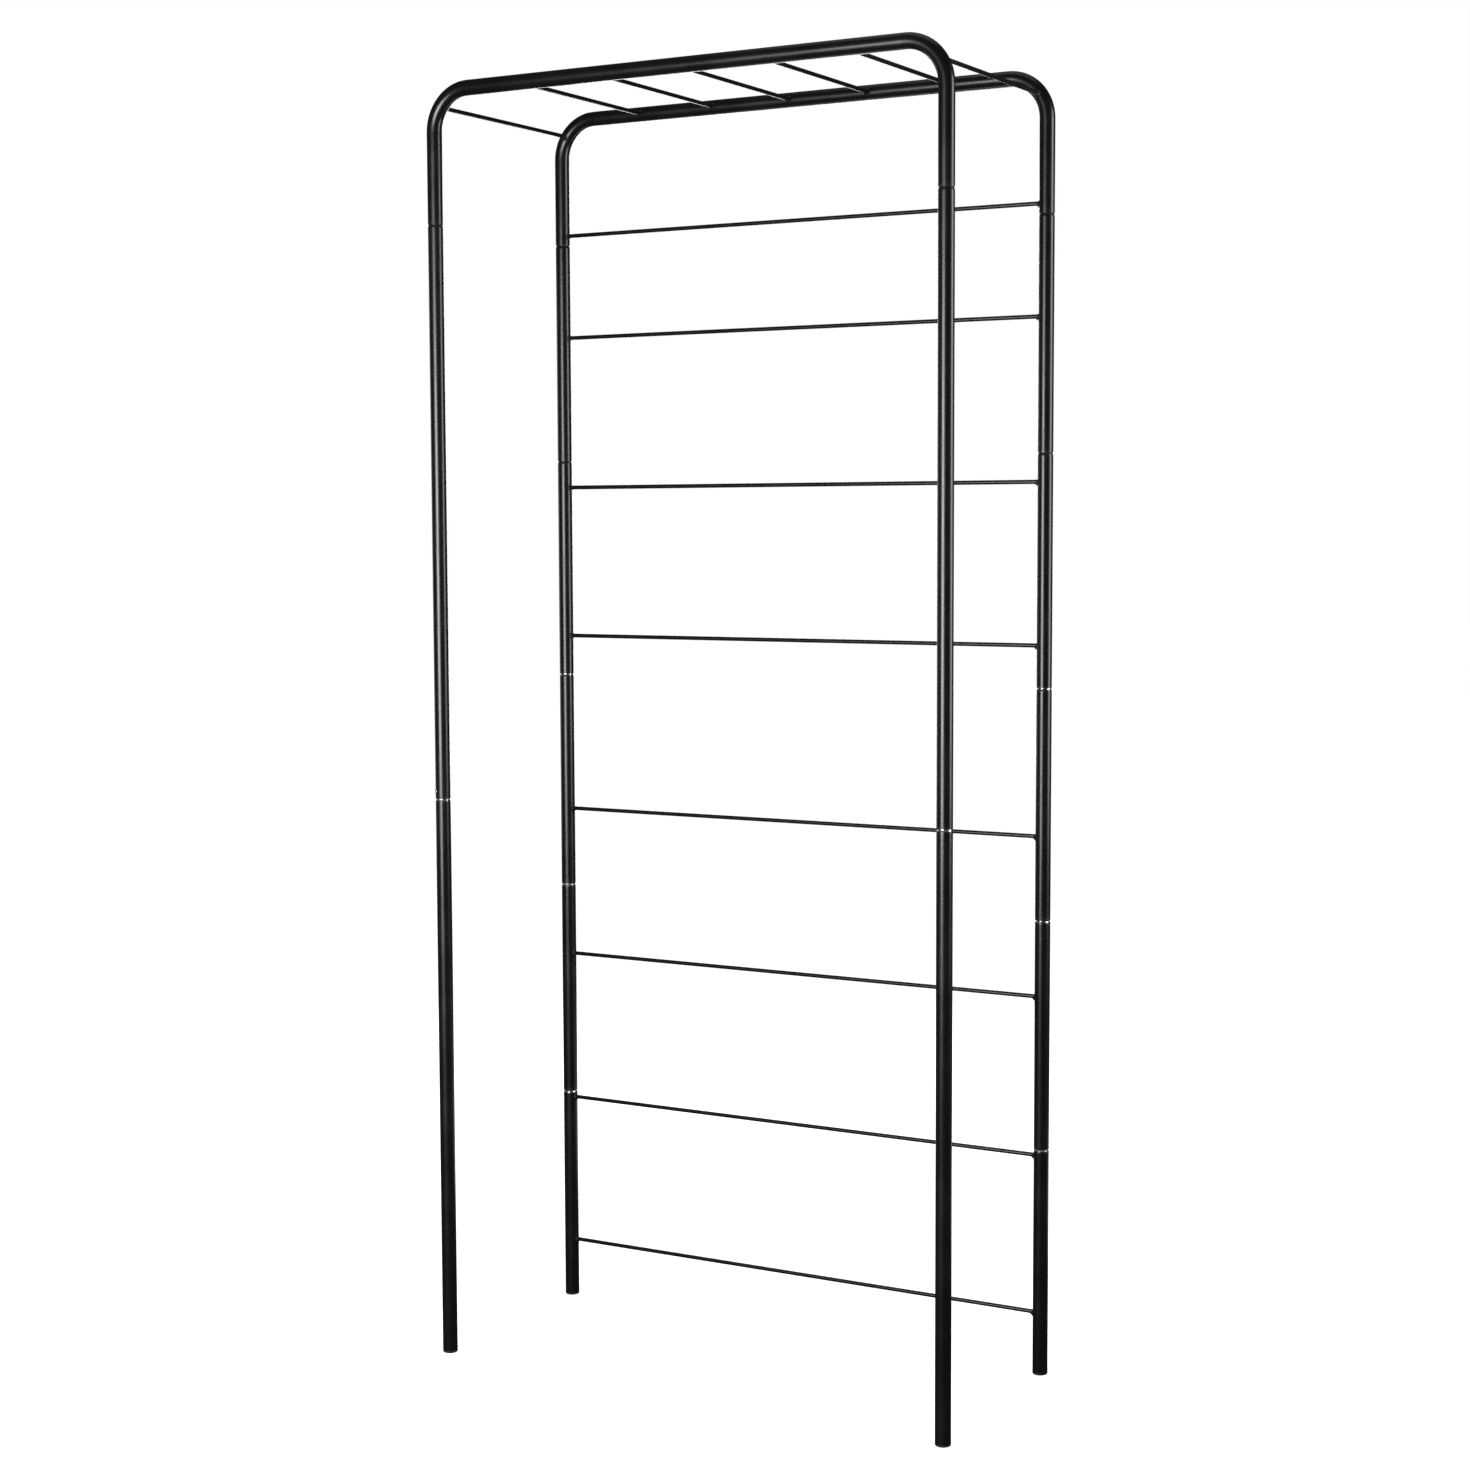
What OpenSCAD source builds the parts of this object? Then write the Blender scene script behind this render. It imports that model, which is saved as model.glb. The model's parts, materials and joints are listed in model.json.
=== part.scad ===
// Garden trellis arch: two bent-tube hoops joined by roof rods, on push-together legs.
// The rear hoop stands on a ladder of short sections with rungs, the front hoop on plain legs.
// Millimetres, +X to the right, +Y to the rear, +Z up.
// Origin on the ground, midway between the four feet.

/* [Frame] */
// Distance between the left and right leg axes
span = 920; // [600:10:1600]
// Distance between the front and rear hoop axes
depth = 378; // [200:2:800]
// Height of the leg's top joint above the ground
leg_h = 1890; // [1500:10:2400]
// Height of the roof beam's axis above the top joint
hoop_h = 215; // [150:5:400]
// Bend radius of the hoop's corners, at the tube's axis
bend_r = 67; // [40:1:100]

/* [Tube] */
// Outside diameter of the frame tube
tube_d = 25; // [22:1:32]
// Wall of the frame tube
tube_wall = 1.2; // [1:0.1:1.5]

/* [Push-fit joints] */
// Length of the swaged spigot above its shoulder
spigot_l = 36; // [20:1:60]
// Radial clearance between a spigot and its socket
spigot_gap = 0.08; // [0.05:0.01:0.1]
// Height of the rounded shoulder below the spigot
shoulder_h = 5; // [3:0.5:8]
// Gap between the shoulder's top and the socket's cut end
seat_gap = 1.2; // [0.2:0.1:2]
// Chamfer on the tip of a spigot
tip_chamfer = 0.6; // [0.3:0.1:0.8]

/* [Roof rods] */
// Diameter of the thin welded rods and rungs
rod_d = 7; // [5:0.5:8]
// Distance from a corner bend's start to the nearest rod on the straight beam
roof_end_gap = 101; // [40:1:150]
// Distance in from the leg axis to the roof rod on each corner bend
corner_rod_in = 13; // [8:1:20]

/* [Rungs] */
// Height of rung 1 above joint 1, the top joint of the rear leg
rung_1_above_joint_1 = 16; // [14:1:60]
// Depth of rung 2 below joint 1
rung_2_below_joint_1 = 162; // [60:1:240]
// Depth of rung 3 below joint 2
rung_3_below_joint_2 = 47; // [12:1:100]
// Height of rung 4 above joint 3
rung_4_above_joint_3 = 68; // [12:1:100]
// Height of rung 5 above joint 4
rung_5_above_joint_4 = 136; // [60:1:200]
// Depth of rung 6 below joint 4
rung_6_below_joint_4 = 127; // [60:1:200]
// Depth of rung 7 below joint 5
rung_7_below_joint_5 = 12; // [12:1:60]
// Height of rung 8, the lowest, above the ground
rung_8_above_ground = 103; // [60:1:140]

/* [Feet] */
// Thickness of a foot plug's head below the tube's end
plug_head_h = 4; // [3:0.5:8]
// Radius on the lower edge of a foot plug's head
plug_edge_r = 2.5; // [1:0.5:2.5]
// Length of a foot plug's sleeve inside the tube
plug_sleeve_l = 20; // [10:1:40]
// Wall of a foot plug's sleeve
plug_wall = 1.8; // [1.2:0.1:2.5]
// Radial clearance of the plug's sleeve in the tube
plug_gap = 0.05; // [0.02:0.01:0.1]

/* [Lock screw] */
// Diameter of the screw's domed head
screw_head_d = 5; // [4:0.5:6]
// Height of the domed head off the tube
screw_head_h = 1.6; // [1:0.1:2]
// Diameter of the screw's shank
screw_d = 3; // [2:0.5:3.5]
// Radial clearance of the shank in its hole
screw_gap = 0.1; // [0.05:0.05:0.2]
// Height of the screw above the joint that it locks
screw_up = 12; // [8:1:20]
// Direction of the screw round the tube, from the front towards the left
screw_turn = 30; // [0:1:60]

/* [Hidden] */
$fn = 64;
shoulder_steps = 8;
plug_edge_steps = 6;
// How far a cut runs past the face that it opens.
cut_past = 1;

tube_r = tube_d / 2;
bore_r = tube_r - tube_wall;
spigot_r = bore_r - spigot_gap;
spigot_bore_r = spigot_r - tube_wall;
rod_r = rod_d / 2;
leg_x = span / 2;
hoop_y = depth / 2;
beam_z = leg_h + hoop_h;
front_sections = 2;
rear_sections = 5;
bend_x = leg_x - bend_r;
bend_z = beam_z - bend_r;
front_pitch = leg_h / front_sections;
rear_pitch = leg_h / rear_sections;

// The shoulder is an arc that leaves the tube's wall upright and turns in to the spigot.
shoulder_in = tube_r - spigot_r;
shoulder_r = (shoulder_h * shoulder_h + shoulder_in * shoulder_in) / (2 * shoulder_in);
shoulder_turn = asin(shoulder_h / shoulder_r);

// The corner rods meet the bends, so their height follows the bend's circle.
corner_rod_x = leg_x - corner_rod_in;
corner_rod_z = bend_z + sqrt(pow(bend_r, 2) - pow(bend_r - corner_rod_in, 2));

// The rods between the corner rods are evenly spaced along the straight beam.
straight_rods = 5;
roof_pitch = 2 * (bend_x - roof_end_gap) / (straight_rods - 1);

// Height of a rear leg's joint, which is the top end of the section with the same number.
function joint_z(number) = leg_h - (number - 1) * rear_pitch;

rung_z = [
    joint_z(1) + rung_1_above_joint_1,
    joint_z(1) - rung_2_below_joint_1,
    joint_z(2) - rung_3_below_joint_2,
    joint_z(3) + rung_4_above_joint_3,
    joint_z(4) + rung_5_above_joint_4,
    joint_z(4) - rung_6_below_joint_4,
    joint_z(5) - rung_7_below_joint_5,
    rung_8_above_ground
];

// Half of a hoop's solid core at radius r: leg, corner bend and half the beam, on the right.
module hoop_half(r) {
    translate([leg_x, 0, leg_h])
        cylinder(r = r, h = bend_z - leg_h);
    translate([bend_x, 0, bend_z])
        rotate([90, 0, 0])
            rotate_extrude(angle = 90)
                translate([bend_r, 0])
                    circle(r = r);
    translate([0, 0, beam_z])
        rotate([0, 90, 0])
            cylinder(r = r, h = bend_x);
}

// A whole hoop's core at radius r, both halves.
module hoop_core(r) {
    for (side = [0, 1])
        mirror([side, 0, 0]) hoop_half(r);
}

// Bent tube with open sockets at both leg ends.
module hoop(y) {
    color("#1c1c1c")
        translate([0, y, 0])
            difference() {
                hoop_core(tube_r);
                hoop_core(bore_r);
                for (side = [-1, 1])
                    translate([side * leg_x, 0, leg_h - cut_past])
                        cylinder(r = bore_r, h = 2 * cut_past);
            }
}

// Straight leg tube from bottom to top, where top is the cut end of the tube above it.
// Its upper end is swaged: a rounded shoulder, then a spigot that enters the tube above.
module leg_tube(x, y, bottom, top) {
    shoulder_z = top - seat_gap;
    turn_z = shoulder_z - shoulder_h;
    tip_z = shoulder_z + spigot_l;
    outside = [for (i = [0 : shoulder_steps])
        let (a = shoulder_turn * i / shoulder_steps)
        [tube_r - shoulder_r * (1 - cos(a)), turn_z + shoulder_r * sin(a)]];
    color("#1c1c1c")
        translate([x, y, 0])
            rotate_extrude()
                polygon(concat(
                    [[bore_r, bottom], [tube_r, bottom]],
                    outside,
                    [[spigot_r, tip_z - tip_chamfer], [spigot_r - tip_chamfer, tip_z],
                     [spigot_bore_r, tip_z], [spigot_bore_r, shoulder_z], [bore_r, turn_z]]
                ));
}

// Thin rod across the rear legs, its ends cut to the round of the tubes they are welded to.
module rung(number) {
    color("#232323")
        difference() {
            translate([-leg_x, hoop_y, rung_z[number - 1]])
                rotate([0, 90, 0])
                    cylinder(r = rod_r, h = span, $fn = 32);
            for (side = [-1, 1])
                translate([side * leg_x, hoop_y, rung_z[number - 1] - tube_d])
                    cylinder(r = tube_r, h = 2 * tube_d);
        }
}

// Thin rod from hoop to hoop along Y, its ends cut to the round of the hoops.
module roof_rod(number) {
    from_middle = number - (straight_rods + 3) / 2;
    on_bend = abs(from_middle) > straight_rods / 2;
    rod_x = on_bend ? sign(from_middle) * corner_rod_x : from_middle * roof_pitch;
    rod_z = on_bend ? corner_rod_z : beam_z;
    color("#232323")
        difference() {
            translate([rod_x, hoop_y, rod_z])
                rotate([90, 0, 0])
                    cylinder(r = rod_r, h = depth, $fn = 32);
            for (y = [-hoop_y, hoop_y])
                translate([0, y, 0])
                    if (on_bend)
                        mirror([rod_x < 0 ? 1 : 0, 0, 0]) hoop_half(tube_r);
                    else
                        translate([rod_x - tube_d, 0, beam_z])
                            rotate([0, 90, 0])
                                cylinder(r = tube_r, h = 2 * tube_d);
        }
}

// Plastic plug in a leg's open lower end: a head with a rounded lower edge and a hollow sleeve.
module foot_plug(x, y) {
    sleeve_r = bore_r - plug_gap;
    edge = [for (i = [0 : plug_edge_steps])
        let (a = 90 * i / plug_edge_steps)
        [tube_r - plug_edge_r + plug_edge_r * sin(a), plug_edge_r - plug_edge_r * cos(a)]];
    color("#101010")
        translate([x, y, 0])
            rotate_extrude()
                polygon(concat(
                    [[0, 0]], edge,
                    [[tube_r, plug_head_h], [sleeve_r, plug_head_h],
                     [sleeve_r, plug_head_h + plug_sleeve_l],
                     [sleeve_r - plug_wall, plug_head_h + plug_sleeve_l],
                     [sleeve_r - plug_wall, plug_head_h], [0, plug_head_h]]
                ));
}

// Puts its children on the lock screw's axis, with +Z pointing out of the tube.
module on_screw_axis() {
    translate([-leg_x, -hoop_y, front_pitch + screw_up])
        rotate([90, 0, -screw_turn])
            children();
}

// Short domed screw through the socket's wall. Its tip stops at the bore, on the spigot.
module lock_screw() {
    dome_r = (pow(screw_head_d / 2, 2) + pow(screw_head_h, 2)) / (2 * screw_head_h);
    color("#1c1c1c") {
        difference() {
            on_screw_axis()
                intersection() {
                    translate([0, 0, tube_r + screw_head_h - dome_r])
                        sphere(r = dome_r);
                    translate([0, 0, bore_r])
                        cylinder(d = screw_head_d, h = tube_d, $fn = 32);
                }
            translate([-leg_x, -hoop_y, front_pitch])
                cylinder(r = tube_r, h = 2 * screw_up);
        }
        on_screw_axis()
            translate([0, 0, bore_r])
                cylinder(d = screw_d, h = tube_wall + screw_head_h / 2, $fn = 32);
    }
}

// Front left upper tube, drilled for the lock screw.
module front_left_upper_tube() {
    difference() {
        leg_tube(-leg_x, -hoop_y, front_pitch, leg_h);
        on_screw_axis()
            cylinder(r = screw_d / 2 + screw_gap, h = tube_d, $fn = 32);
    }
}

// Rear leg tube, number 1 at the top, standing on its foot plug when it is the last.
module rear_tube(side, number) {
    bottom = number == rear_sections ? plug_head_h : joint_z(number + 1);
    leg_tube(side * leg_x, hoop_y, bottom, joint_z(number));
}

hoop(-hoop_y);  // front_hoop
hoop(hoop_y);  // rear_hoop
for (i = [1 : 7])
    roof_rod(i);
front_left_upper_tube();
leg_tube(-leg_x, -hoop_y, plug_head_h, front_pitch);  // front_left_lower_tube
leg_tube(leg_x, -hoop_y, front_pitch, leg_h);  // front_right_upper_tube
leg_tube(leg_x, -hoop_y, plug_head_h, front_pitch);  // front_right_lower_tube
for (i = [1 : 5]) {
    rear_tube(-1, i);
    rear_tube(1, i);
}
for (i = [1 : 8])
    rung(i);
foot_plug(-leg_x, -hoop_y);  // front_left_foot_plug
foot_plug(leg_x, -hoop_y);  // front_right_foot_plug
foot_plug(-leg_x, hoop_y);  // rear_left_foot_plug
foot_plug(leg_x, hoop_y);  // rear_right_foot_plug
lock_screw();
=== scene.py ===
import json
import math

import bmesh
import bpy
from mathutils import Matrix, Vector, noise

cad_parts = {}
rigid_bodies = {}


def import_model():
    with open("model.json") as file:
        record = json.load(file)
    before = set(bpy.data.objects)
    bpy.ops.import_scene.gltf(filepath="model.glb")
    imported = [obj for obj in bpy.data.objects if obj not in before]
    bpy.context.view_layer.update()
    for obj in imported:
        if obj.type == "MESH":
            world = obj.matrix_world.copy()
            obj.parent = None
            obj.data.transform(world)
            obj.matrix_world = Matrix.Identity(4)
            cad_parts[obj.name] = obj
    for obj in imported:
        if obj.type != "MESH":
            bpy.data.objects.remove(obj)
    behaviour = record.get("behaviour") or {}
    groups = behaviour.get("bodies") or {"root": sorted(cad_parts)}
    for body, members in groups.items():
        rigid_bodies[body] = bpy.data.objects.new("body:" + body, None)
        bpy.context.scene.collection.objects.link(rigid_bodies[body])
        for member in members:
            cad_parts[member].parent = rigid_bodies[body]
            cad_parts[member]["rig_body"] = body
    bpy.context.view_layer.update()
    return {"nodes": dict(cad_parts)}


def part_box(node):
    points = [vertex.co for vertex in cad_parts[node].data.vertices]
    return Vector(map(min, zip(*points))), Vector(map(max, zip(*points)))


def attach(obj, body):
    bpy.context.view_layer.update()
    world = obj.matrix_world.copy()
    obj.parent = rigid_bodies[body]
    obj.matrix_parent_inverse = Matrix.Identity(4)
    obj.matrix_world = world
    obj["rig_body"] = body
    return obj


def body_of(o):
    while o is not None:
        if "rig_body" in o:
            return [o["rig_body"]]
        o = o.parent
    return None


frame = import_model()

# ---------------------------------------------------------------- viewpoint
# The arch stands on open ground and is looked at from its front right corner,
# by someone about four metres away who looks very slightly down.
EYE = Vector((2.0662, -3.6475, 1.4003))
EYE_TURN = math.radians(-29.61)
EYE_DIP = math.radians(4.73)
EYE_ROLL = math.radians(-0.22)
EYE_LENS_MM = 62.73
SENSOR_MM = 36.0

eye_data = bpy.data.cameras.new("eye")
eye_data.sensor_width = SENSOR_MM
eye_data.lens = EYE_LENS_MM
eye_data.clip_end = 100.0
eye = bpy.data.objects.new("eye", eye_data)
bpy.context.scene.collection.objects.link(eye)
ahead = Vector(
    (
        math.sin(EYE_TURN) * math.cos(EYE_DIP),
        math.cos(EYE_TURN) * math.cos(EYE_DIP),
        -math.sin(EYE_DIP),
    )
)
level_right = Vector((math.cos(EYE_TURN), -math.sin(EYE_TURN), 0.0))
level_up = level_right.cross(ahead)
eye_right = level_right * math.cos(EYE_ROLL) + level_up * math.sin(EYE_ROLL)
eye_up = level_up * math.cos(EYE_ROLL) - level_right * math.sin(EYE_ROLL)
eye.matrix_world = Matrix.Translation(EYE) @ (
    Matrix((eye_right, eye_up, -ahead)).transposed().to_4x4()
)
bpy.context.scene.camera = eye
bpy.context.scene.view_settings.view_transform = "Standard"

# ---------------------------------------------------------------- leg tubes
# Thin-walled round steel tube, cut to length, with one end drawn down to plug
# into the next. Black semi-gloss powder coat with a fine orange peel. It is
# chipped to bare steel at the lower joints, and dust gathers in every joint.
FRONT_SECTION = 0.945
REAR_SECTION = 0.378
FILM_BLACK = (0.0048, 0.0048, 0.0050, 1.0)
RUBBED_BLACK = (0.035, 0.035, 0.036, 1.0)
BARE_STEEL = (0.66, 0.66, 0.67, 1.0)
DUST_GREY = (0.105, 0.100, 0.092, 1.0)
LEG_PEEL_PER_METRE = 420.0


def wire(tree, kind, feeds=None, **options):
    """One shader node: options are its own settings, feeds fill or link its inputs."""
    made = tree.nodes.new(kind)
    for option, value in options.items():
        setattr(made, option, value)
    for socket, value in (feeds or {}).items():
        if isinstance(value, bpy.types.NodeSocket):
            tree.links.new(value, made.inputs[socket])
        else:
            made.inputs[socket].default_value = value
    return made


def sum_of(tree, operation, first, second=0.0, third=0.0):
    """The result of one arithmetic step on numbers or sockets."""
    step = wire(
        tree, "ShaderNodeMath", {0: first, 1: second, 2: third}, operation=operation
    )
    return step.outputs[0]


def ramp_between(tree, value, low, high, to_low=0.0, to_high=1.0):
    """A smooth change from to_low to to_high while value goes from low to high."""
    feeds = {0: value, 1: low, 2: high, 3: to_low, 4: to_high}
    made = wire(tree, "ShaderNodeMapRange", feeds, interpolation_type="SMOOTHSTEP")
    return made.outputs[0]


def finish_effect(name, takes, gives):
    """An empty node group with these named inputs and outputs."""
    tree = bpy.data.node_groups.new(name, "ShaderNodeTree")
    for label, kind, value in takes:
        socket = tree.interface.new_socket(label, in_out="INPUT", socket_type=kind)
        socket.default_value = value
    for label, kind in gives:
        tree.interface.new_socket(label, in_out="OUTPUT", socket_type=kind)
    return tree, tree.nodes.new("NodeGroupInput"), tree.nodes.new("NodeGroupOutput")


def give(tree, end, **results):
    """Joins each result to the group output of that name."""
    for label, socket in results.items():
        tree.links.new(socket, end.inputs[label.replace("_", " ")])


FLOAT, COLOUR = "NodeSocketFloat", "NodeSocketColor"

# The coat itself. Peel is the broad dimpling that the film bakes with, grain the
# finer one on top of it, and film the slow change of its thickness.
GRAINS_PER_PEEL = 5.5
coat_skin, skin_in, skin_out = finish_effect(
    "powder_coat_skin",
    [
        ("Film", COLOUR, FILM_BLACK),
        ("Peel Per Metre", FLOAT, LEG_PEEL_PER_METRE),
        ("Smooth Gloss", FLOAT, 0.265),
        ("Coarse Gloss", FLOAT, 0.315),
    ],
    [("Colour", COLOUR), ("Roughness", FLOAT), ("Height", FLOAT)],
)
place = wire(coat_skin, "ShaderNodeTexCoord").outputs["Object"]
peel = wire(
    coat_skin,
    "ShaderNodeTexNoise",
    {"Vector": place, "Scale": skin_in.outputs["Peel Per Metre"], "Detail": 2.0},
).outputs["Fac"]
grains_per_metre = sum_of(
    coat_skin, "MULTIPLY", skin_in.outputs["Peel Per Metre"], GRAINS_PER_PEEL
)
grain = wire(
    coat_skin,
    "ShaderNodeTexNoise",
    {"Vector": place, "Scale": grains_per_metre, "Detail": 1.0},
).outputs["Fac"]
film = wire(
    coat_skin,
    "ShaderNodeTexNoise",
    {"Vector": place, "Scale": 11.0, "Detail": 3.0, "Roughness": 0.6},
).outputs["Fac"]
thin_film = ramp_between(coat_skin, film, 0.35, 0.68)
shade = sum_of(coat_skin, "MULTIPLY_ADD", thin_film, 0.35, 0.82)
shade = sum_of(coat_skin, "MULTIPLY_ADD", grain, 0.22, shade)
skin_colour = wire(
    coat_skin,
    "ShaderNodeVectorMath",
    {0: skin_in.outputs["Film"], "Scale": shade},
    operation="SCALE",
).outputs[0]
gloss_mix = sum_of(coat_skin, "MULTIPLY_ADD", grain, 0.10, thin_film)
skin_rough = ramp_between(
    coat_skin,
    gloss_mix,
    0.05,
    1.15,
    skin_in.outputs["Smooth Gloss"],
    skin_in.outputs["Coarse Gloss"],
)
skin_height = sum_of(coat_skin, "MULTIPLY_ADD", grain, 0.18, peel)
give(
    coat_skin, skin_out, Colour=skin_colour, Roughness=skin_rough, Height=skin_height
)

# Wear and grime at the joints, which lie one section length apart. A joint is
# only pulled apart often enough to chip where it is within easy reach.
STRIP_HEIGHT = 0.0030
STRIP_EDGE = 0.0003
JOINT_EDGE = 0.0001
REACH_ALL, REACH_NONE = 1.20, 1.32
FOOT_TOP = 0.05
GRIME_CORE, GRIME_EDGE = 0.0005, 0.0085
joint_wear, wear_in, wear_out = finish_effect(
    "joint_wear",
    [("Section Length", FLOAT, REAR_SECTION), ("Strip Height", FLOAT, STRIP_HEIGHT)],
    [("Bare Strip", FLOAT), ("Groove Grime", FLOAT)],
)
place = wire(joint_wear, "ShaderNodeTexCoord").outputs["Object"]
height = wire(joint_wear, "ShaderNodeSeparateXYZ", {0: place}).outputs["Z"]
sections = sum_of(joint_wear, "DIVIDE", height, wear_in.outputs["Section Length"])
nearest = sum_of(joint_wear, "ROUND", sections)
from_joint = sum_of(
    joint_wear,
    "MULTIPLY",
    sum_of(joint_wear, "SUBTRACT", sections, nearest),
    wear_in.outputs["Section Length"],
)
off_ground = ramp_between(joint_wear, height, FOOT_TOP, FOOT_TOP + 0.01)
far_off = sum_of(joint_wear, "ABSOLUTE", from_joint)
chips = wire(
    joint_wear,
    "ShaderNodeTexNoise",
    {"Vector": place, "Scale": 260.0, "Detail": 3.0, "Roughness": 0.65},
).outputs["Fac"]
which_joint = wire(
    joint_wear, "ShaderNodeTexNoise", {"Vector": place, "Scale": 3.1, "Detail": 0.0}
).outputs["Fac"]
strip_reach = sum_of(
    joint_wear,
    "MULTIPLY",
    wear_in.outputs["Strip Height"],
    sum_of(joint_wear, "MULTIPLY_ADD", chips, 1.1, 0.45),
)
strip_left = sum_of(joint_wear, "SUBTRACT", strip_reach, far_off)
bare_strip = ramp_between(joint_wear, strip_left, 0.0, STRIP_EDGE)
below_joint = ramp_between(joint_wear, from_joint, 0.0, -JOINT_EDGE)
within_reach = ramp_between(joint_wear, height, REACH_NONE, REACH_ALL)
often_parted = ramp_between(joint_wear, which_joint, 0.16, 0.38)
for limit in (below_joint, within_reach, often_parted, off_ground):
    bare_strip = sum_of(joint_wear, "MULTIPLY", bare_strip, limit)
grime = ramp_between(joint_wear, far_off, GRIME_EDGE, GRIME_CORE)
grime = sum_of(
    joint_wear, "MULTIPLY", grime, ramp_between(joint_wear, chips, 0.38, 0.66)
)
give(joint_wear, wear_out, Bare_Strip=bare_strip, Groove_Grime=grime)

# Dust that settles on whatever faces the sky, in soft uneven patches.
settled_dust, dust_in, dust_out = finish_effect(
    "settled_dust", [("Cover", FLOAT, 0.3)], [("Dust", FLOAT)]
)
place = wire(settled_dust, "ShaderNodeTexCoord").outputs["Object"]
facing = wire(settled_dust, "ShaderNodeNewGeometry").outputs["Normal"]
facing_up = wire(settled_dust, "ShaderNodeSeparateXYZ", {0: facing}).outputs["Z"]
patches = wire(
    settled_dust,
    "ShaderNodeTexNoise",
    {"Vector": place, "Scale": 48.0, "Detail": 5.0, "Roughness": 0.7},
).outputs["Fac"]
dust = sum_of(
    settled_dust,
    "MULTIPLY",
    ramp_between(settled_dust, facing_up, 0.45, 1.0),
    ramp_between(settled_dust, patches, 0.36, 0.70),
)
dust = sum_of(settled_dust, "MULTIPLY", dust, dust_in.outputs["Cover"])
give(settled_dust, dust_out, Dust=dust)

# Hairline rubs from packing and handling, mostly across the piece.
handling_rubs, rubs_in, rubs_out = finish_effect(
    "handling_rubs",
    [("Rubs Per Metre", FLOAT, 90.0), ("Strength", FLOAT, 0.5)],
    [("Rub", FLOAT)],
)
place = wire(handling_rubs, "ShaderNodeTexCoord").outputs["Object"]
tilted = wire(
    handling_rubs,
    "ShaderNodeMapping",
    {"Vector": place, "Rotation": (0.5, 0.35, 0.2), "Scale": (1.0, 1.0, 16.0)},
).outputs[0]
hairs = wire(
    handling_rubs,
    "ShaderNodeTexNoise",
    {"Vector": tilted, "Scale": rubs_in.outputs["Rubs Per Metre"], "Detail": 4.0},
).outputs["Fac"]
rubbed_area = wire(
    handling_rubs, "ShaderNodeTexNoise", {"Vector": place, "Scale": 7.0, "Detail": 2.0}
).outputs["Fac"]
rub = sum_of(
    handling_rubs,
    "MULTIPLY",
    ramp_between(handling_rubs, hairs, 0.60, 0.74),
    ramp_between(handling_rubs, rubbed_area, 0.50, 0.66),
)
rub = sum_of(handling_rubs, "MULTIPLY", rub, rubs_in.outputs["Strength"])
give(handling_rubs, rubs_out, Rub=rub)


def effect(tree, group, **values):
    """One use of an effect group in a material, with its own values."""
    feeds = {label.replace("_", " "): value for label, value in values.items()}
    made = tree.nodes.new("ShaderNodeGroup")
    made.node_tree = group
    for label, value in feeds.items():
        made.inputs[label].default_value = value
    return made


def tinted(tree, under, over, amount):
    """The colour under, changed towards the colour over by amount."""
    mix = wire(tree, "ShaderNodeMix", data_type="RGBA", blend_type="MIX")
    colour_a, colour_b = mix.inputs[6], mix.inputs[7]
    tree.links.new(amount, mix.inputs[0])
    for socket, value in ((colour_a, under), (colour_b, over)):
        if isinstance(value, bpy.types.NodeSocket):
            tree.links.new(value, socket)
        else:
            socket.default_value = value
    return mix.outputs[2]


def new_finish(name):
    """An empty material with its shader: returns the material, its tree and the shader."""
    made = bpy.data.materials.new(name)
    made.use_nodes = True
    return made, made.node_tree, made.node_tree.nodes["Principled BSDF"]


def relief(tree, shader, height_socket, strength, depth):
    """Raises the surface by height, depth metres at full strength."""
    bump = wire(
        tree,
        "ShaderNodeBump",
        {"Height": height_socket, "Strength": strength, "Distance": depth},
    )
    tree.links.new(bump.outputs[0], shader.inputs["Normal"])


def powder_coat(
    name, section=None, peel=LEG_PEEL_PER_METRE, dust_cover=0.10, rub_strength=0.25
):
    """Black powder coat. A leg gives its section length, where its joints wear it."""
    made, tree, shader = new_finish(name)
    skin = effect(tree, coat_skin, Film=FILM_BLACK, Peel_Per_Metre=peel)
    dusty = effect(tree, settled_dust, Cover=dust_cover)
    rubbed = effect(tree, handling_rubs, Strength=rub_strength)
    colour, rough = skin.outputs["Colour"], skin.outputs["Roughness"]
    loose = dusty.outputs["Dust"]
    colour = tinted(tree, colour, RUBBED_BLACK, rubbed.outputs["Rub"])
    rough = sum_of(tree, "MULTIPLY_ADD", rubbed.outputs["Rub"], 0.16, rough)
    if section:
        worn = effect(tree, joint_wear, Section_Length=section)
        loose = sum_of(
            tree, "MULTIPLY_ADD", worn.outputs["Groove Grime"], 0.16, loose
        )
        colour = tinted(tree, colour, DUST_GREY, loose)
        colour = tinted(tree, colour, BARE_STEEL, worn.outputs["Bare Strip"])
        tree.links.new(worn.outputs["Bare Strip"], shader.inputs["Metallic"])
        rough = sum_of(tree, "MULTIPLY_ADD", worn.outputs["Bare Strip"], -0.06, rough)
    else:
        colour = tinted(tree, colour, DUST_GREY, loose)
    rough = sum_of(tree, "MULTIPLY_ADD", loose, 0.45, rough)
    tree.links.new(colour, shader.inputs["Base Color"])
    tree.links.new(rough, shader.inputs["Roughness"])
    relief(tree, shader, skin.outputs["Height"], 0.03, 0.0003)
    return made


def repaint(names, finish):
    """Gives the finish to these pieces of the frame."""
    for name in names:
        frame["nodes"][name].material_slots[0].material = finish


front_leg_coat = powder_coat("front_leg_coat", section=FRONT_SECTION)
rear_leg_coat = powder_coat("rear_leg_coat", section=REAR_SECTION)
repaint(
    [
        f"front_{side}_{part}_tube"
        for side in ("left", "right")
        for part in ("upper", "lower")
    ],
    front_leg_coat,
)
repaint(
    [f"rear_{side}_tube_{n}" for side in ("left", "right") for n in range(1, 6)],
    rear_leg_coat,
)

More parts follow.
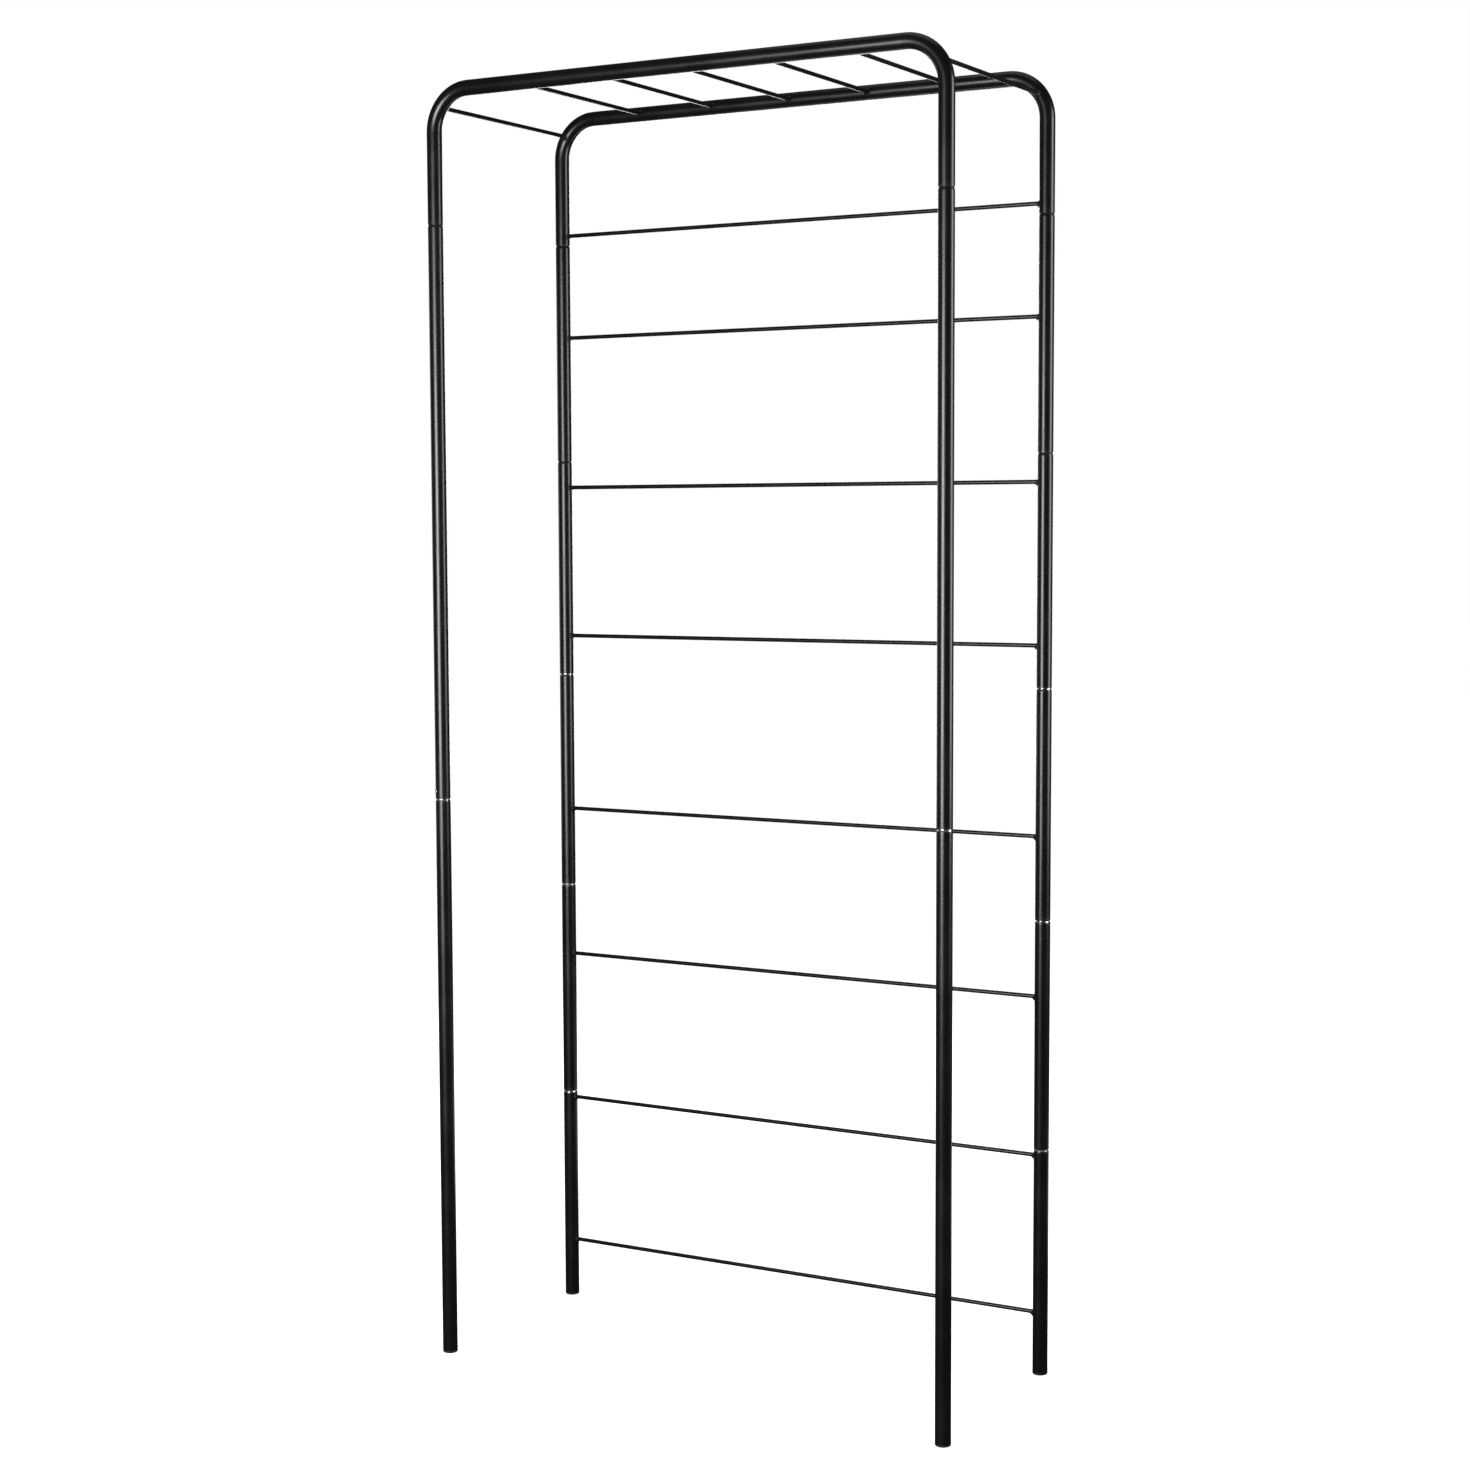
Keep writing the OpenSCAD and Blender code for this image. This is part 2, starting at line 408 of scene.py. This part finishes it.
# ---------------------------------------------------------------- hoops
# Two identical hoops of the same tube, bent cold to a tight round corner at
# each side, and coated together with the rods that are welded between them.
repaint(["front_hoop"], front_leg_coat)
repaint(["rear_hoop"], rear_leg_coat)

# ---------------------------------------------------------------- roof rods and rungs
# Seven millimetre drawn steel rod, cut to length and welded in, then coated with
# the hoops and legs. The peel is finer on the thin rod than on the tubes.
ROOF_RODS = [f"roof_rod_{n}" for n in range(1, 8)]
RUNGS = [f"rung_{n}" for n in range(1, 9)]
rod_coat = powder_coat(
    "rod_coat", peel=620.0, dust_cover=0.12, rub_strength=0.20
)
repaint(ROOF_RODS + RUNGS, rod_coat)

# ---------------------------------------------------------------- weld beads
# A bead of filler metal runs round each rod where it meets a tube, heavier and
# drooping on the underside, with the ripples that each dab of metal leaves.
# The beads are coated over together with their rod, and move with it.
BEAD_STEPS = 44
BEAD_ARC = 8
BEAD_ON_ROD = 0.0024
BEAD_ON_TUBE = 0.0021
BEAD_SINK = 0.0007
BEAD_BULGE = 0.55
BEAD_UNEVEN = 0.30
UNEVEN_PER_TURN = 2.2
RIPPLE_DEPTH = 0.07
RIPPLES_PER_TURN = 13
BEND_RADIUS = 0.067


def bead_rings(root, along_rod, along_tube, rod_r, tube_r, seed, sag=0.9):
    """Rings of points for one bead. root is where the rod's line meets the tube's."""
    across = along_rod.cross(along_tube).normalized()
    rings = []
    for step in range(BEAD_STEPS):
        turn = 2 * math.pi * step / BEAD_STEPS
        out = along_tube * math.cos(turn) + across * math.sin(turn)
        low_side = max(0.0, -out.z) ** 2
        spot_in_noise = Vector(
            (
                UNEVEN_PER_TURN * math.cos(turn),
                UNEVEN_PER_TURN * math.sin(turn),
                seed,
            )
        )
        uneven = BEAD_UNEVEN * noise.noise(spot_in_noise)
        ripple = RIPPLE_DEPTH * math.sin(RIPPLES_PER_TURN * turn + seed)
        size = 1.0 + uneven + ripple + sag * low_side
        on_rod, on_tube = BEAD_ON_ROD * size, BEAD_ON_TUBE * size
        ring = []
        for part in range(BEAD_ARC + 1):
            s = 0.5 * math.pi * part / BEAD_ARC
            spread = (1 - BEAD_BULGE) * math.sin(s) + BEAD_BULGE * (1 - math.cos(s))
            climb = (1 - BEAD_BULGE) * math.cos(s) + BEAD_BULGE * (1 - math.sin(s))
            ring.append((rod_r + on_tube * spread, on_rod * climb))
        ring.append((rod_r + on_tube - BEAD_SINK, -BEAD_SINK))
        ring.append((rod_r - BEAD_SINK, -BEAD_SINK))
        ring.append((rod_r - BEAD_SINK, on_rod - BEAD_SINK))
        points = []
        for reach, rise in ring:
            sideways = reach * math.sin(turn)
            wall = math.sqrt(max(tube_r**2 - sideways**2, 0.0))
            points.append(root + out * reach + along_rod * (wall + rise))
        rings.append(points)
    return rings


def weld_mesh(name, bead_list):
    """One mesh of closed beads, from a list of their rings."""
    shell = bmesh.new()
    for rings in bead_list:
        made = [[shell.verts.new(p) for p in ring] for ring in rings]
        for a, ring in enumerate(made):
            after = made[(a + 1) % len(made)]
            for b in range(len(ring)):
                c = (b + 1) % len(ring)
                shell.faces.new((ring[b], ring[c], after[c], after[b]))
    bmesh.ops.recalc_face_normals(shell, faces=shell.faces)
    data = bpy.data.meshes.new(name)
    shell.to_mesh(data)
    shell.free()
    data.polygons.foreach_set("use_smooth", [True] * len(data.polygons))
    made = bpy.data.objects.new(name, data)
    bpy.context.scene.collection.objects.link(made)
    return made


def middle(name):
    """The middle of a piece's box."""
    low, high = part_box(name)
    return (low + high) / 2


def bead_coat(name):
    """The rod's coat over rippled weld metal, with small pits and spatter."""
    made, tree, shader = new_finish(name)
    skin = effect(
        tree,
        coat_skin,
        Film=FILM_BLACK,
        Peel_Per_Metre=900.0,
        Smooth_Gloss=0.34,
        Coarse_Gloss=0.50,
    )
    dusty = effect(tree, settled_dust, Cover=0.15)
    place = wire(tree, "ShaderNodeTexCoord").outputs["Object"]
    spatter = wire(
        tree, "ShaderNodeTexVoronoi", {"Vector": place, "Scale": 1300.0}
    ).outputs["Distance"]
    lumps = ramp_between(tree, spatter, 0.42, 0.12)
    raised = sum_of(tree, "MULTIPLY_ADD", lumps, 0.55, skin.outputs["Height"])
    colour = tinted(tree, skin.outputs["Colour"], DUST_GREY, dusty.outputs["Dust"])
    tree.links.new(colour, shader.inputs["Base Color"])
    tree.links.new(skin.outputs["Roughness"], shader.inputs["Roughness"])
    relief(tree, shader, raised, 0.20, 0.0004)
    return made


bead_paint = bead_coat("bead_coat")


def weld_on(rod, beads):
    """Coats a rod's beads and makes them move with the rod's body."""
    weld = weld_mesh(f"{rod}_welds", beads)
    weld.data.materials.append(bead_paint)
    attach(weld, body_of(frame["nodes"][rod])[0])


hoop_low, hoop_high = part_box("front_hoop")
tube_radius = (hoop_high.y - hoop_low.y) / 2
rod_low, rod_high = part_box("rung_1")
rod_radius = (rod_high.z - rod_low.z) / 2
hoop_lines = (middle("front_hoop").y, middle("rear_hoop").y)
bend_centre = Vector(
    (hoop_high.x - tube_radius - BEND_RADIUS, 0, hoop_high.z - tube_radius - BEND_RADIUS)
)
for number, rod in enumerate(ROOF_RODS):
    spot = middle(rod)
    side = math.copysign(1.0, spot.x)
    from_bend = Vector((abs(spot.x) - bend_centre.x, 0, spot.z - bend_centre.z))
    if from_bend.x > 0:
        tube_way = Vector((-side * from_bend.z, 0, from_bend.x)).normalized()
    else:
        tube_way = Vector((1, 0, 0))
    beads = []
    for end, line_y in enumerate(hoop_lines):
        inward = Vector((0, 1 if end == 0 else -1, 0))
        root = Vector((spot.x, line_y, spot.z))
        beads.append(
            bead_rings(
                root, inward, tube_way, rod_radius, tube_radius, 3.7 * number + 11 * end
            )
        )
    weld_on(rod, beads)

leg_lines = (middle("rear_left_tube_5").x, middle("rear_right_tube_5").x)
leg_y = middle("rear_left_tube_5").y
for number, rod in enumerate(RUNGS):
    spot = middle(rod)
    beads = []
    for end, line_x in enumerate(leg_lines):
        inward = Vector((1 if end == 0 else -1, 0, 0))
        root = Vector((line_x, leg_y, spot.z))
        beads.append(
            bead_rings(
                root,
                inward,
                Vector((0, 0, 1)),
                rod_radius,
                tube_radius,
                5.3 * number + 17 * end,
                sag=0.55 + 0.75 * end,
            )
        )
    weld_on(rod, beads)

# ---------------------------------------------------------------- foot plugs
# Black polyethylene caps pushed into the open feet. They are moulded with a
# fine matt texture, and pick up scuffs and grit round the edge they stand on.
PLUG_BLACK = (0.010, 0.010, 0.010, 1.0)
PLUG_FLOW = (0.017, 0.017, 0.017, 1.0)
PLUG_SCUFF = (0.05, 0.05, 0.05, 1.0)
GRIT_FULL, GRIT_TOP = 0.0004, 0.0042


def moulded_plastic(name):
    """Matt moulded plastic with flow marks, scuffs and grit at the ground."""
    made, tree, shader = new_finish(name)
    place = wire(tree, "ShaderNodeTexCoord").outputs["Object"]
    height = wire(tree, "ShaderNodeSeparateXYZ", {0: place}).outputs["Z"]
    spark = wire(
        tree,
        "ShaderNodeTexNoise",
        {"Vector": place, "Scale": 2600.0, "Detail": 2.0, "Roughness": 0.7},
    ).outputs["Fac"]
    flow = wire(
        tree, "ShaderNodeTexNoise", {"Vector": place, "Scale": 75.0, "Detail": 2.0}
    ).outputs["Fac"]
    grit = wire(
        tree,
        "ShaderNodeTexNoise",
        {"Vector": place, "Scale": 520.0, "Detail": 5.0, "Roughness": 0.75},
    ).outputs["Fac"]
    near_ground = ramp_between(tree, height, GRIT_TOP, GRIT_FULL)
    grit_mask = sum_of(
        tree, "MULTIPLY", near_ground, ramp_between(tree, grit, 0.44, 0.62)
    )
    rubbed = effect(tree, handling_rubs, Rubs_Per_Metre=420.0, Strength=0.8)
    colour = tinted(tree, PLUG_BLACK, PLUG_FLOW, ramp_between(tree, flow, 0.3, 0.7))
    colour = tinted(tree, colour, PLUG_SCUFF, rubbed.outputs["Rub"])
    colour = tinted(
        tree, colour, DUST_GREY, sum_of(tree, "MULTIPLY", grit_mask, 0.55)
    )
    rough = ramp_between(tree, spark, 0.3, 0.7, 0.50, 0.64)
    rough = sum_of(tree, "MULTIPLY_ADD", grit_mask, 0.25, rough)
    tree.links.new(colour, shader.inputs["Base Color"])
    tree.links.new(rough, shader.inputs["Roughness"])
    raised = sum_of(tree, "MULTIPLY_ADD", grit_mask, 0.6, spark)
    relief(tree, shader, raised, 0.35, 0.0001)
    return made


plug_plastic = moulded_plastic("plug_plastic_moulded")
repaint(
    [f"{end}_{side}_foot_plug" for end in ("front", "rear") for side in ("left", "right")],
    plug_plastic,
)

# ---------------------------------------------------------------- lock screw
# One small steel screw pins the front left leg just above its middle joint.
# It is zinc plated, so it shows bright, with faint turning marks and dulling.
ZINC_BRIGHT = (0.62, 0.63, 0.65, 1.0)
ZINC_DULL = (0.36, 0.36, 0.37, 1.0)


def zinc_plate(name):
    """Bright zinc plate with a dull bloom in patches."""
    made, tree, shader = new_finish(name)
    place = wire(tree, "ShaderNodeTexCoord").outputs["Object"]
    bloom = wire(
        tree, "ShaderNodeTexNoise", {"Vector": place, "Scale": 900.0, "Detail": 4.0}
    ).outputs["Fac"]
    rubbed = effect(tree, handling_rubs, Rubs_Per_Metre=900.0, Strength=0.7)
    dulled = ramp_between(tree, bloom, 0.42, 0.66)
    colour = tinted(tree, ZINC_BRIGHT, ZINC_DULL, dulled)
    rough = ramp_between(tree, bloom, 0.35, 0.7, 0.22, 0.42)
    rough = sum_of(tree, "MULTIPLY_ADD", rubbed.outputs["Rub"], 0.2, rough)
    tree.links.new(colour, shader.inputs["Base Color"])
    tree.links.new(rough, shader.inputs["Roughness"])
    shader.inputs["Metallic"].default_value = 1.0
    relief(tree, shader, bloom, 0.25, 0.0001)
    return made


repaint(["lock_screw"], zinc_plate("screw_zinc"))

# ---------------------------------------------------------------- floor and light
# A plain white studio: a wide pale floor that runs out of sight, a square soft
# light well out in front, a tall one off the right, and gentler ones above, behind
# and on the left, with a low one for the light that a white floor sends back up.
FLOOR_RADIUS = 30.0
FLOOR_PALE = (0.93, 0.93, 0.93, 1.0)
FLOOR_GLOW_NEAR, FLOOR_GLOW_FAR = 0.80, 1.0
GLOW_STARTS, GLOW_ENDS = 0.6, 3.2
AIR_DIM = 0.035


def pale_floor():
    """A matt white disc that glows a little more away from the arch."""
    disc = bmesh.new()
    bmesh.ops.create_circle(disc, cap_ends=True, radius=FLOOR_RADIUS, segments=128)
    data = bpy.data.meshes.new("floor")
    disc.to_mesh(data)
    disc.free()
    made = bpy.data.objects.new("floor", data)
    bpy.context.scene.collection.objects.link(made)
    finish = bpy.data.materials.new("floor_white")
    finish.use_nodes = True
    tree = finish.node_tree
    tree.nodes.clear()
    matt = wire(tree, "ShaderNodeBsdfDiffuse", {"Color": FLOOR_PALE})
    place = wire(tree, "ShaderNodeTexCoord").outputs["Object"]
    away = wire(tree, "ShaderNodeVectorMath", {0: place}, operation="LENGTH").outputs[1]
    strength = ramp_between(
        tree, away, GLOW_STARTS, GLOW_ENDS, FLOOR_GLOW_NEAR, FLOOR_GLOW_FAR
    )
    glow = wire(tree, "ShaderNodeEmission", {"Color": (1, 1, 1, 1), "Strength": strength})
    both = wire(tree, "ShaderNodeAddShader", {0: matt.outputs[0], 1: glow.outputs[0]})
    wire(tree, "ShaderNodeOutputMaterial", {"Surface": both.outputs[0]})
    data.materials.append(finish)
    made.visible_glossy = False
    made.visible_diffuse = False


pale_floor()

# The air is white to look at, but gives the tubes hardly anything to mirror.
studio = bpy.data.worlds.new("studio")
bpy.context.scene.world = studio
studio.use_nodes = True
air = studio.node_tree
air.nodes.clear()
white = wire(air, "ShaderNodeBackground", {"Color": (1, 1, 1, 1), "Strength": 1.0})
dim = wire(air, "ShaderNodeBackground", {"Color": (1, 1, 1, 1), "Strength": AIR_DIM})
seen = wire(air, "ShaderNodeLightPath").outputs["Is Camera Ray"]
shown = wire(
    air, "ShaderNodeMixShader", {0: seen, 1: dim.outputs[0], 2: white.outputs[0]}
)
wire(air, "ShaderNodeOutputWorld", {"Surface": shown.outputs[0]})


def soft_light(name, spot, aim, wide, tall, radiance):
    """A soft box of this size and brightness at spot, turned to aim."""
    data = bpy.data.lights.new(name, "AREA")
    data.shape = "RECTANGLE"
    data.size, data.size_y = wide, tall
    data.energy = radiance * math.pi * wide * tall
    made = bpy.data.objects.new(name, data)
    made.location = spot
    made.rotation_mode = "QUATERNION"
    made.rotation_quaternion = (Vector(aim) - Vector(spot)).to_track_quat("-Z", "Y")
    made.visible_camera = False
    bpy.context.scene.collection.objects.link(made)


soft_light("front_box", (-0.24, -3.20, 1.26), (0.0, 0.0, 1.26), 1.6, 1.5, 16.0)
soft_light("right_box", (2.55, 0.75, 1.75), (0.0, 0.0, 1.68), 1.0, 2.1, 7.2)
soft_light("top_box", (0.0, 0.3, 4.6), (0.0, 0.0, 1.0), 2.4, 2.4, 0.5)
soft_light("floor_bounce", (0.0, 1.35, 0.02), (0.0, 1.35, 2.0), 2.6, 1.1, 0.9)
soft_light("left_box", (-2.6, 0.45, 1.30), (0.0, 0.0, 1.30), 1.0, 1.5, 1.1)
soft_light("rear_box", (-1.6, 2.8, 1.5), (0.0, 0.0, 1.2), 1.2, 1.8, 5.0)

# ---------------------------------------------------------------- final view layer update
bpy.context.view_layer.update()
